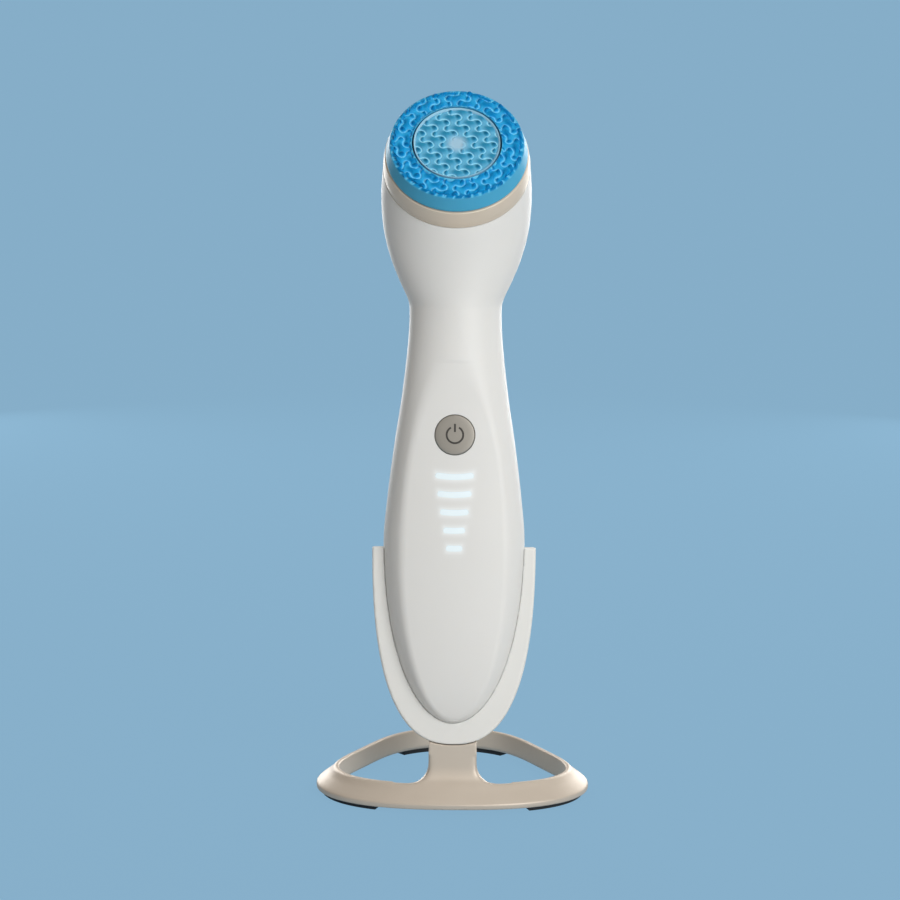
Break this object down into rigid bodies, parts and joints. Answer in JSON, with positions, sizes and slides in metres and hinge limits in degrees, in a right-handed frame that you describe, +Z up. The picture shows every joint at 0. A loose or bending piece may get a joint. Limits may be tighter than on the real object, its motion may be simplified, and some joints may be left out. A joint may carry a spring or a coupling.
{
  "type": "facial cleansing brush",
  "caption": "Facial cleansing brush with a counter-rotating silicone head on a bent handset, resting in a cradle on a hoop-shaped stand.",
  "frame": {"origin": "centre of the bounding box, on the plane that the feet stand on", "axes": "+Z up, -Y towards the front, where the brush head, the button and the light bars face"},
  "size_m": [0.0876, 0.0794, 0.2247],
  "materials": {
    "white_plastic": "satin white moulded plastic",
    "champagne_metal": "satin champagne metallic",
    "blue_silicone": "matt blue silicone",
    "pale_silicone": "matt pale blue silicone",
    "black_rubber": "matt",
    "steel": "bright",
    "brass": "bright",
    "acetal": "natural gear plastic",
    "dark_plastic": "matt",
    "circuit_board": "solder mask",
    "cell_wrap": "shrink wrap",
    "clear_plastic": "clear light guide"
  },
  "bodies": {
    "stand": {"base_hoop": "champagne_metal", "cradle_shell": "white_plastic", "foot_right": "black_rubber", "foot_back": "black_rubber", "foot_left": "black_rubber", "cradle_screw_left": "steel", "cradle_screw_right": "steel"},
    "handset": {"front_shell": "white_plastic", "rear_shell": "white_plastic", "chassis": "dark_plastic", "circuit_board": "circuit_board", "battery_cell": "cell_wrap", "switch_dome": "steel", "light_guide": "clear_plastic", "contact_stud_left": "brass", "contact_stud_right": "brass", "shell_screw_lower_left": "steel", "shell_screw_lower_right": "steel", "shell_screw_upper_left": "steel", "shell_screw_upper_right": "steel", "trim_ring": "champagne_metal", "lip_seal": "black_rubber", "gear_plate": "dark_plastic", "motor": "steel", "planet_pin_1": "steel", "planet_pin_2": "steel", "planet_pin_3": "steel"},
    "power_button": {"power_button": "champagne_metal"},
    "outer_drive": {"outer_hub": "acetal", "spindle_bush": "brass"},
    "inner_drive": {"spindle": "steel"},
    "planet_1": {"planet_gear_1": "acetal"},
    "planet_2": {"planet_gear_2": "acetal"},
    "planet_3": {"planet_gear_3": "acetal"},
    "outer_head": {"outer_cap": "blue_silicone", "outer_carrier": "white_plastic"},
    "inner_head": {"inner_cap": "pale_silicone", "inner_carrier": "white_plastic"}
  },
  "joints": [
    {"name": "handset_lift", "type": "slide", "parent": "stand", "child": "handset", "axis": [0, 0.1736, 0.9848], "range_m": [0, 0.09]},
    {"name": "power_press", "type": "slide", "parent": "handset", "child": "power_button", "axis": [0, 0.9848, -0.1736], "range_m": [0, 0.0005], "stiffness_N_per_m": 400},
    {"name": "outer_spin", "type": "hinge", "parent": "handset", "child": "outer_drive", "pos_m": [0, 0.00172, 0.19958], "axis": [0, -0.749, 0.6626], "range_deg": [-6, 6]},
    {"name": "inner_spin", "type": "hinge", "parent": "handset", "child": "inner_drive", "pos_m": [0, 0.00172, 0.19958], "axis": [0, -0.749, 0.6626], "range_deg": [-18, 18]},
    {"name": "planet_1_spin", "type": "hinge", "parent": "handset", "child": "planet_1", "pos_m": [0, 0.00809, 0.20677], "axis": [0, -0.749, 0.6626], "range_deg": [-18, 18]},
    {"name": "planet_2_spin", "type": "hinge", "parent": "handset", "child": "planet_2", "pos_m": [-0.00831, -0.00146, 0.19598], "axis": [0, -0.749, 0.6626], "range_deg": [-18, 18]},
    {"name": "planet_3_spin", "type": "hinge", "parent": "handset", "child": "planet_3", "pos_m": [0.00831, -0.00146, 0.19598], "axis": [0, -0.749, 0.6626], "range_deg": [-18, 18]},
    {"name": "outer_head_pull", "type": "slide", "parent": "outer_drive", "child": "outer_head", "axis": [0, -0.749, 0.6626], "range_m": [0, 0.015]},
    {"name": "inner_head_pull", "type": "slide", "parent": "inner_drive", "child": "inner_head", "axis": [0, -0.749, 0.6626], "range_m": [0, 0.015]}
  ],
  "couplings": [
    {"joint": "inner_spin", "follows": "outer_spin", "ratio": -3},
    {"joint": "planet_1_spin", "follows": "outer_spin", "ratio": 3},
    {"joint": "planet_2_spin", "follows": "outer_spin", "ratio": 3},
    {"joint": "planet_3_spin", "follows": "outer_spin", "ratio": 3},
    {"joint": "inner_head_pull", "follows": "outer_head_pull", "ratio": 1}
  ]
}
